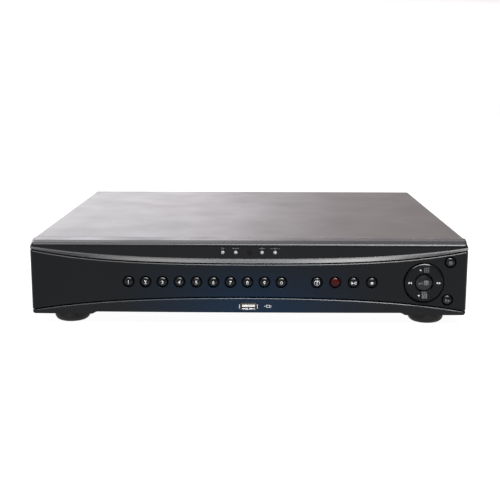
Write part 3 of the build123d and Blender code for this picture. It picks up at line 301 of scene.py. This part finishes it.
FINISHES = {
    "top_cover": PAINT, "rear_panel": PAINT, "base_chassis": ZINC,
    "front_bezel": BEZEL, "control_panel": PANEL, "nav_frame": WHITE, "key_record": RED_KEY,
    "nav_ring": RING, "key_enter": ENTER,
    "feet": RUBBER, "infrared_window": SMOKE, "lamp_lenses": LENS, "front_diodes": WHITE,
    "front_usb_shell": USB_STEEL, "front_usb_tongue": WHITE, "bnc_barrels": NICKEL, "vga_socket": NICKEL,
    "network_socket": NICKEL, "alarm_terminal": GREEN, "wire_headers": WHITE, "heat_sink": ALUMINIUM,
    "drive_casting": CASTING, "transformer": WINDING, "ribbon_cable": GREY_CABLE, "data_cable": RED_CABLE,
    "key_board": MASK, "main_board": MASK, "power_board": MASK, "drive_board": MASK,
    "machine_screws": STEEL, "tapping_screws": STEEL, "drive_screws": STEEL, "foot_screws": STEEL,
}


def finish_for(node):
    if node in FINISHES:
        return FINISHES[node]
    return KEYS if node.startswith("key_") else BLACK


for node_name, node_object in NODES.items():
    node_object.data.materials.clear()
    node_object.data.materials.append(finish_for(node_name))


# ---- printed marks -----------------------------------------------------------------------------
# A mark is a list of outlines in mm, x to the right and z up as seen from the front.

DISC_STEPS = 20
ARC_STEPS = 24


def bar(x, z, width, height):
    w, h = width / 2, height / 2
    return [(x - w, z - h), (x + w, z - h), (x + w, z + h), (x - w, z + h)]


def arrow(x, z, size, turn):
    """A triangle that points right, turned anticlockwise by degrees."""
    corners = ((-0.45, -0.6), (0.55, 0.0), (-0.45, 0.6))
    spin = Matrix.Rotation(math.radians(turn), 2)
    return [(x + size * p.x, z + size * p.y) for p in (spin @ Vector(c) for c in corners)]


def disc(x, z, radius):
    turns = [2 * math.pi * i / DISC_STEPS for i in range(DISC_STEPS)]
    return [(x + radius * math.cos(t), z + radius * math.sin(t)) for t in turns]


def ring(x, z, radius, width, start=0.0, sweep=360.0):
    """A ring or an arc of one, as short strips."""
    strips = []
    for i in range(ARC_STEPS):
        a, b = (math.radians(start + sweep * k / ARC_STEPS) for k in (i, i + 1))
        inner, outer = radius - width / 2, radius + width / 2
        corners = ((inner, a), (outer, a), (outer, b), (inner, b))
        strips.append([(x + r * math.cos(turn), z + r * math.sin(turn)) for r, turn in corners])
    return strips


def grid(x, z, size, cells, gap):
    """A square of cells by cells small squares."""
    cell = (size - gap * (cells - 1)) / cells
    first = -(size - cell) / 2
    step = cell + gap
    places = [first + step * i for i in range(cells)]
    return [bar(x + across, z + up, cell, cell) for across in places for up in places]


def frame_mark(x, z, width, height, line):
    """An open rectangle of four bars."""
    across = [bar(x, z + side * (height - line) / 2, width, line) for side in (-1, 1)]
    down = [bar(x + side * (width - line) / 2, z, line, height - 2 * line) for side in (-1, 1)]
    return across + down


DIGIT_HEIGHT = 2.9
DIGIT_SHARE = 0.7  # of the font's size that a digit takes
DIGIT_WEIGHT = 0.06  # added to the width of a digit's strokes


def figure(text, height):
    """The outlines of a number as a mesh's faces, centred, in mm."""
    curve = bpy.data.curves.new("figure", "FONT")
    curve.body = text
    curve.align_x = "CENTER"
    curve.align_y = "CENTER"
    curve.size = height / DIGIT_SHARE
    curve.offset = DIGIT_WEIGHT
    holder = bpy.data.objects.new("figure", curve)
    bpy.context.scene.collection.objects.link(holder)
    bpy.context.view_layer.update()
    mesh = bpy.data.meshes.new_from_object(holder)
    bpy.data.objects.remove(holder)
    bpy.data.curves.remove(curve)
    outlines = [[mesh.vertices[v].co.xy[:] for v in face.vertices] for face in mesh.polygons]
    bpy.data.meshes.remove(mesh)
    return outlines


SURFACES = {}


def surface_of(node):
    """A node's mesh, ready for finding points on its face."""
    if node not in SURFACES:
        mesh = NODES[node].data
        corners = [v.co for v in mesh.vertices]
        SURFACES[node] = BVHTree.FromPolygons(corners, [p.vertices[:] for p in mesh.polygons])
    return SURFACES[node]


def link(name, mesh, material, body):
    piece = bpy.data.objects.new(name, mesh)
    bpy.context.scene.collection.objects.link(piece)
    mesh.materials.append(material)
    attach(piece, body)
    return piece


INK_LIFT = 0.00003  # metres in front of the face


def printed(name, outlines, centre, node, body, material, cuts=2):
    """Lays a flat mark on a node's front face, following its curve."""
    shape = bmesh.new()
    for outline in outlines:
        corners = [shape.verts.new((centre[0] + x * MM, 0, centre[1] + z * MM)) for x, z in outline]
        shape.faces.new(corners)
    bmesh.ops.triangulate(shape, faces=shape.faces[:])
    bmesh.ops.remove_doubles(shape, verts=shape.verts[:], dist=0.000001)
    bmesh.ops.subdivide_edges(shape, edges=shape.edges[:], cuts=cuts, use_grid_fill=True)
    face = surface_of(node)
    for vertex in shape.verts:
        hit = face.ray_cast(Vector((vertex.co.x, -1, vertex.co.z)), Vector((0, 1, 0)))[0]
        if hit is not None:
            vertex.co.y = hit.y - INK_LIFT
    shape.normal_update()
    flipped = [f for f in shape.faces if f.normal.y > 0]
    bmesh.ops.reverse_faces(shape, faces=flipped)
    mesh = bpy.data.meshes.new(name)
    shape.to_mesh(mesh)
    shape.free()
    for polygon in mesh.polygons:
        polygon.use_smooth = True
    return link(name, mesh, material, body)


def middle(node):
    """The centre of a node's box across the front, in metres."""
    low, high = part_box(node)
    return (low[0] + high[0]) / 2, (low[2] + high[2]) / 2


KEY_MARK_DROP = 0.4 * MM  # below the middle of a key's box, which the plunger shifts

for number in range(10):
    key = "key_%d" % number
    x, z = middle(key)
    printed("mark_%d" % number, figure(str(number), DIGIT_HEIGHT), (x, z - KEY_MARK_DROP), key, key, INK)

KEY_MARKS = {
    "key_info": [bar(0, -0.55, 0.75, 2.0), disc(0, 1.15, 0.5)] + ring(0, 0, 2.2, 0.35),
    "key_play_pause": [arrow(-0.9, 0, 2.3, 0), bar(1.0, 0, 0.55, 2.6), bar(2.0, 0, 0.55, 2.6)],
    "key_stop": [bar(0, 0, 2.1, 2.1)],
    "key_menu": [bar(0, level, 3.0, 0.5) for level in (-1.05, 0, 1.05)],
    "key_exit": [arrow(1.1, 0, 1.5, 0), bar(-0.2, 0, 1.8, 0.45), bar(-1.6, 0, 0.45, 2.6)]
    + [bar(-1.0, side * 1.08, 0.9, 0.45) for side in (-1, 1)],
}
for key, outlines in KEY_MARKS.items():
    x, z = middle(key)
    ink = GREY_INK if key in ("key_menu", "key_exit") else INK
    printed(key.replace("key", "mark"), outlines, (x, z - KEY_MARK_DROP), key, key, ink)

# navigation ring: arrows with a small and a fine grid above and below, double arrows left and right
nav_x, nav_z = middle("nav_ring")
MARK_UP = 11.4  # of the marks above and below, from the ring's middle
MARK_OUT = 12.4  # of the marks at the sides
ARROW = 1.6
ARROW_STEP = 0.9
up_down = [arrow(-3.6, MARK_UP, ARROW, 90), arrow(-4.2, -MARK_UP, ARROW, -90)]
sideways = [arrow(-MARK_OUT + step, 0, ARROW, 180) for step in (-ARROW_STEP, ARROW_STEP)]
sideways += [arrow(MARK_OUT + step, 0, ARROW, 0) for step in (-ARROW_STEP, ARROW_STEP)]
printed("mark_directions", up_down + sideways, (nav_x, nav_z), "nav_ring", "nav_ring", INK)
LINE = 0.35
quarters = frame_mark(1.6, MARK_UP, 3.9, 3.9, LINE)
quarters += [bar(1.6, MARK_UP, LINE, 3.2), bar(1.6, MARK_UP, 3.2, LINE)]
printed("mark_views", quarters, (nav_x, nav_z), "nav_ring", "nav_ring", GREY_INK)
printed("mark_fine_grid", grid(0.6, -MARK_UP, 4.4, 4, LINE), (nav_x, nav_z), "nav_ring", "nav_ring", GREY_INK)

# enter key: a bent arrow and a grid
enter = [arrow(-4.3, -0.6, 1.3, 180), bar(-2.9, -0.6, 2.2, 0.4), bar(-1.9, 0.3, 0.4, 1.8)]
printed("mark_enter", enter, (nav_x, nav_z), "key_enter", "key_enter", GREY_INK)
printed("mark_enter_grid", grid(1.6, 0.2, 3.8, 3, 0.3), (nav_x, nav_z), "key_enter", "key_enter", GREY_INK)

# small signs over the lamps: network, recording disc, alarm and power
low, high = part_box("lamp_lenses")
lamp_z = (low[2] + high[2]) / 2
LENS_R = 1.5
LAMP_STEPS = (0.0, 11.25, 33.9, 45.1)  # from the first lamp's middle
SIGN_Z = 3.5  # above the lamps
lamp_xs = [low[0] + (LENS_R + step) * MM for step in LAMP_STEPS]
lamp_signs = (
    [bar(-0.95, -0.35, 0.6, 0.6), bar(0.95, -0.35, 0.6, 0.6), bar(0, 0.5, 0.6, 0.6), bar(0, -0.35, 1.2, 0.2)],
    [arrow(-2.5, 0, 0.9, 180), bar(-1.2, 0, 1.3, 0.3), bar(0.9, 0, 1.3, 0.3), arrow(2.2, 0, 0.9, 0)]
    + [disc(-0.15, 0, 0.4)],
    ring(0, 0, 0.7, 0.25) + [disc(0, 0, 0.22), bar(-1.9, 0, 1.3, 0.35), bar(1.9, 0, 1.3, 0.35)],
    ring(0, -0.05, 0.75, 0.28, 120, 300) + [bar(0, 0.45, 0.28, 0.9)]
    + [bar(side * at, 0, 1.0, 0.35) for side in (-1, 1) for at in (1.9, 3.4)],
)
for index, (lamp_x, sign) in enumerate(zip(lamp_xs, lamp_signs)):
    place = (lamp_x, lamp_z + SIGN_Z * MM)
    printed("sign_lamp_%d" % (index + 1), sign, place, "front_bezel", BODY, GREY_INK, cuts=1)

# a plug sign beside the USB socket
PLUG_AT = (16.8, 0.2)  # from the socket's middle
low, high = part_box("front_usb_shell")
usb_x, usb_z = (low[0] + high[0]) / 2, (low[2] + high[2]) / 2
plug = frame_mark(0.2, 0, 3.0, 2.4, 0.4)
plug += [bar(-2.4, 0, 1.8, 0.45), bar(2.4, 0.6, 1.2, 0.4), bar(2.4, -0.6, 1.2, 0.4)]
plug_at = (usb_x + PLUG_AT[0] * MM, usb_z + PLUG_AT[1] * MM)
printed("sign_plug", plug, plug_at, "front_bezel", BODY, INK, cuts=1)


# ---- small pieces at the sockets --------------------------------------------------------------


def tube_ring(shape, centre, inner, outer, start, end, steps):
    """Adds a hollow tube along Y to a bmesh."""
    x, z = centre
    turns = [2 * math.pi * i / steps for i in range(steps)]
    rings = []
    for radius, y in ((inner, end), (inner, start), (outer, start), (outer, end)):
        corners = [(x + radius * math.cos(t), y, z + radius * math.sin(t)) for t in turns]
        rings.append([shape.verts.new(corner) for corner in corners])
    for first, second in zip(rings, rings[1:] + rings[:1]):
        for i in range(steps):
            shape.faces.new((first[i], first[(i + 1) % steps], second[(i + 1) % steps], second[i]))


def cuboid(shape, low, high, chamfer):
    """Adds a box between two corners to a bmesh, with its edges broken."""
    made = bmesh.ops.create_cube(shape, size=1.0)["verts"]
    size = [b - a for a, b in zip(low, high)]
    centre = [(a + b) / 2 for a, b in zip(low, high)]
    bmesh.ops.transform(shape, matrix=Matrix.Translation(centre) @ Matrix.Diagonal((*size, 1.0)), verts=made)
    edges = {edge for vertex in made for edge in vertex.link_edges}
    bmesh.ops.bevel(shape, geom=list(edges), offset=chamfer, segments=2, affect="EDGES", profile=0.7)


def finished(name, shape, material, body, smooth=False):
    bmesh.ops.recalc_face_normals(shape, faces=shape.faces[:])
    mesh = bpy.data.meshes.new(name)
    shape.to_mesh(mesh)
    shape.free()
    for polygon in mesh.polygons:
        polygon.use_smooth = smooth
    return link(name, mesh, material, body)


USB_CONTACTS = (-3.5, -1.0, 1.0, 3.5)  # from the socket's middle
USB_CONTACT_HALF = 0.5
USB_SPRINGS = 2.9
USB_SPRING_HALF = 2.4


def usb_details():
    """Four contacts on the tongue of the front socket, and the spring tabs in its shell, whose pale white is
    a painted reflection.
    """
    low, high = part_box("front_usb_tongue")
    middle = (low[0] + high[0]) / 2
    shape = bmesh.new()
    for x in USB_CONTACTS:
        at = middle + x * MM
        near = (at - USB_CONTACT_HALF * MM, low[1] - 0.05 * MM, high[2] - 0.7 * MM)
        far = (at + USB_CONTACT_HALF * MM, high[1], high[2] + 0.12 * MM)
        cuboid(shape, near, far, 0.05 * MM)
    finished("usb_contacts", shape, GOLD, BODY)
    low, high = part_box("front_usb_shell")
    shape = bmesh.new()
    for side in (-1, 1):
        at = middle + side * USB_SPRINGS * MM
        near = (at - USB_SPRING_HALF * MM, low[1] + 0.5 * MM, low[2] + 0.36 * MM)
        far = (at + USB_SPRING_HALF * MM, low[1] + 6 * MM, low[2] + 0.9 * MM)
        cuboid(shape, near, far, 0.15 * MM)
    # painted reflection: the tabs' pale white stands in for a bright reflection low in the shell
    finished("usb_springs", shape, PAINTED_REFLECTION_TAB, BODY)


BNC_X = 62.0
BNC_PITCH = 16.0
BNC_ROWS = (30.7, 52.7)
VIDEO_OUT_AT = (0.0, 30.7)
INSULATOR = (0.9, 2.35, 5.1, 4.9)  # inner and outer radius, then ends in front of the barrel's tip
CONTACT = (0.35, 0.62, 9.0, 5.2)
INSULATOR_STEPS = 24
CONTACT_STEPS = 12
INLET_BLADES = ((0, 3.6), (-7, -2.8), (7, -2.8))
BLADE_HALF = (1.05, 2.05)
BLADE_DEPTH = (17.0, 1.9)  # from the inlet's mouth


def rear_details():
    """Insulators and centre contacts of the video sockets, and plated blades in the mains inlet."""
    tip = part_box("bnc_barrels")[1][1]
    places = [(BNC_X + BNC_PITCH * column, z) for column in range(8) for z in BNC_ROWS] + [VIDEO_OUT_AT]
    insulators, contacts = bmesh.new(), bmesh.new()
    for shape, sizes, steps in ((insulators, INSULATOR, INSULATOR_STEPS), (contacts, CONTACT, CONTACT_STEPS)):
        inner, outer, deep, shallow = (size * MM for size in sizes)
        for x, z in places:
            tube_ring(shape, (x * MM, z * MM), inner, outer, tip - deep, tip - shallow, steps)
    finished("bnc_insulators", insulators, WHITE, BODY)
    finished("bnc_contacts", contacts, GOLD, BODY, smooth=True)
    blades = bmesh.new()
    x, z = (sum(ends) / 2 for ends in list(zip(*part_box("mains_inlet")))[::2])
    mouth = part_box("mains_inlet")[1][1]
    for dx, dz in INLET_BLADES:
        low = (x + (dx - BLADE_HALF[0]) * MM, mouth - BLADE_DEPTH[0] * MM, z + (dz - BLADE_HALF[1]) * MM)
        high = (x + (dx + BLADE_HALF[0]) * MM, mouth - BLADE_DEPTH[1] * MM, z + (dz + BLADE_HALF[1]) * MM)
        cuboid(blades, low, high, 0.3 * MM)
    finished("inlet_blades", blades, NICKEL, BODY)


usb_details()
rear_details()

# white bars at the two sides of the front socket
low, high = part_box("front_usb_shell")
w, h = (high[0] - low[0]) / MM / 2 + 1.0, (high[2] - low[2]) / MM / 2
surround = [bar(side * w, 0.0, 0.5, 2 * h - 2.2) for side in (-1, 1)]
printed("usb_surround_sides", surround, (usb_x, usb_z), "front_bezel", BODY, INK, cuts=1)

# ---- stage, lights and camera -----------------------------------------------------------------

WALL_STOPS = (
    (0.0, (3.0, 2.92, 3.0)), (0.36, (2.6, 2.52, 2.64)), (0.62, (0.80, 0.70, 0.72)), (1.0, (0.02, 0.0, 0.0)),
)
ABOVE_STOPS = (
    (0.0, (1.4, 1.4, 1.4)), (0.12, (1.3, 1.3, 1.3)), (0.4, (0.5, 0.5, 0.52)), (1.0, (0.5, 0.5, 0.52)),
)
FRONT_STOPS = ((0.0, (0.54, 0.54, 0.55)), (0.5, (0.34, 0.34, 0.36)), (1.0, (0.12, 0.12, 0.13)))

BLACK_TO_WHITE = ((0.0, (0.0, 0.0, 0.0)), (1.0, (1.0, 1.0, 1.0)))
FLOOR_HALF = 6.0
FLOOR_GLOW = 0.96


def white_floor():
    """A plain pale floor that glows, like a light table."""
    shape = bmesh.new()
    bmesh.ops.create_grid(shape, x_segments=1, y_segments=1, size=FLOOR_HALF)
    mesh = bpy.data.meshes.new("floor")
    shape.to_mesh(mesh)
    shape.free()
    floor = bpy.data.objects.new("floor", mesh)
    bpy.context.scene.collection.objects.link(floor)
    tree = Tree("floor_white")
    pale = tree.mix(tree.noise(0.4), (0.055, 0.055, 0.055), (0.065, 0.065, 0.065))
    tree.link(pale, tree.shader.inputs["Base Color"])
    tree.shader.inputs["Roughness"].default_value = 0.9
    tree.shader.inputs["Specular IOR Level"].default_value = 0.1
    tree.shader.inputs["Emission Color"].default_value = (1.0, 1.0, 1.0, 1.0)
    tree.shader.inputs["Emission Strength"].default_value = FLOOR_GLOW
    mesh.materials.append(tree.material)


def studio_world():
    """Pale surroundings at floor level, and above them a wall behind, bright on the left."""
    world = bpy.data.worlds.new("studio")
    bpy.context.scene.world = world
    world.use_nodes = True
    nodes, links = world.node_tree.nodes, world.node_tree.links

    def ramp(value, low, high, stops):
        """A colour ramp over a range of a direction's component."""
        share = nodes.new("ShaderNodeMapRange")
        share.inputs["From Min"].default_value = low
        share.inputs["From Max"].default_value = high
        links.new(value, share.inputs["Value"])
        colours = nodes.new("ShaderNodeValToRGB")
        colours.color_ramp.interpolation = "EASE"
        elements = colours.color_ramp.elements
        while len(elements) < len(stops):
            elements.new(0.5)
        for element, (at, colour) in zip(elements, stops):
            element.position = at
            element.color = (*colour, 1.0)
        links.new(share.outputs["Result"], colours.inputs["Fac"])
        return colours.outputs["Color"]

    def mix(factor, first, second):
        node = nodes.new("ShaderNodeMix")
        node.data_type = "RGBA"
        links.new(factor, node.inputs["Factor"])
        links.new(first, node.inputs["A"])
        links.new(second, node.inputs["B"])
        return node.outputs["Result"]

    place = nodes.new("ShaderNodeTexCoord")
    axes = nodes.new("ShaderNodeSeparateXYZ")
    links.new(place.outputs["Generated"], axes.inputs["Vector"])
    x, y, z = axes.outputs["X"], axes.outputs["Y"], axes.outputs["Z"]
    wall = ramp(x, -0.45, 0.45, WALL_STOPS)
    above = ramp(z, 0.0, 1.0, ABOVE_STOPS)
    front = ramp(x, -0.5, 0.5, FRONT_STOPS)
    low_line = ramp(z, 0.045, 0.10, BLACK_TO_WHITE)
    high_line = ramp(z, 0.27, 0.56, BLACK_TO_WHITE)
    behind = ramp(y, -0.15, 0.15, BLACK_TO_WHITE)
    rear = mix(low_line, above, mix(high_line, wall, above))
    links.new(mix(behind, front, rear), nodes["Background"].inputs["Color"])


# a bank of lights over the front that grows brighter to the right: name, left, right, watts
BANK = (("left", -1.0, -0.15, 27.0), ("middle", -0.15, 0.2, 24.0), ("right", 0.2, 0.9, 76.0))
BANK_Y = -0.52
BANK_Z = 1.5
BANK_DEEP = 0.62
OVERHEAD_AT = (0.0, 0.32, BANK_Z)
OVERHEAD_SIZE = (2.4, 0.8)
OVERHEAD_POWER = 36.0
LIGHT_TINT = (1.0, 0.985, 0.975)


def area_light(name, place, size, power):
    """A rectangle of light that faces straight down."""
    light = bpy.data.lights.new(name, "AREA")
    light.shape = "RECTANGLE"
    light.size, light.size_y = size
    light.energy = power
    light.color = LIGHT_TINT
    lamp = bpy.data.objects.new(name, light)
    lamp.location = place
    bpy.context.scene.collection.objects.link(lamp)


LENS_LENGTH = 65.37
EYE_X = 0.00945
EYE_BACK = 0.7609  # in front of the CAD box
EYE_Z = 0.21502
TURN = 0.0108  # radians to the left
DOWN = 0.1937
ROLL = 0.0020


def camera():
    """Slightly above the front, a little right of the middle, looking down by 11 degrees."""
    lens = bpy.data.cameras.new("camera")
    lens.sensor_width = 36.0
    lens.lens = LENS_LENGTH
    lens.clip_start = 0.01
    eye = bpy.data.objects.new("camera", lens)
    eye.location = (EYE_X, cad_box[0][1] - EYE_BACK, EYE_Z)
    aim = Matrix.Rotation(TURN, 4, "Z") @ Matrix.Rotation(math.pi / 2 - DOWN, 4, "X")
    eye.rotation_euler = (aim @ Matrix.Rotation(ROLL, 4, "Z")).to_euler()
    bpy.context.scene.collection.objects.link(eye)
    bpy.context.scene.camera = eye


white_floor()
studio_world()
for name, left, right, power in BANK:
    area_light("bank_" + name, ((left + right) / 2, BANK_Y, BANK_Z), (right - left, BANK_DEEP), power)
area_light("overhead", OVERHEAD_AT, OVERHEAD_SIZE, OVERHEAD_POWER)
camera()
bpy.context.scene.view_settings.view_transform = "Standard"
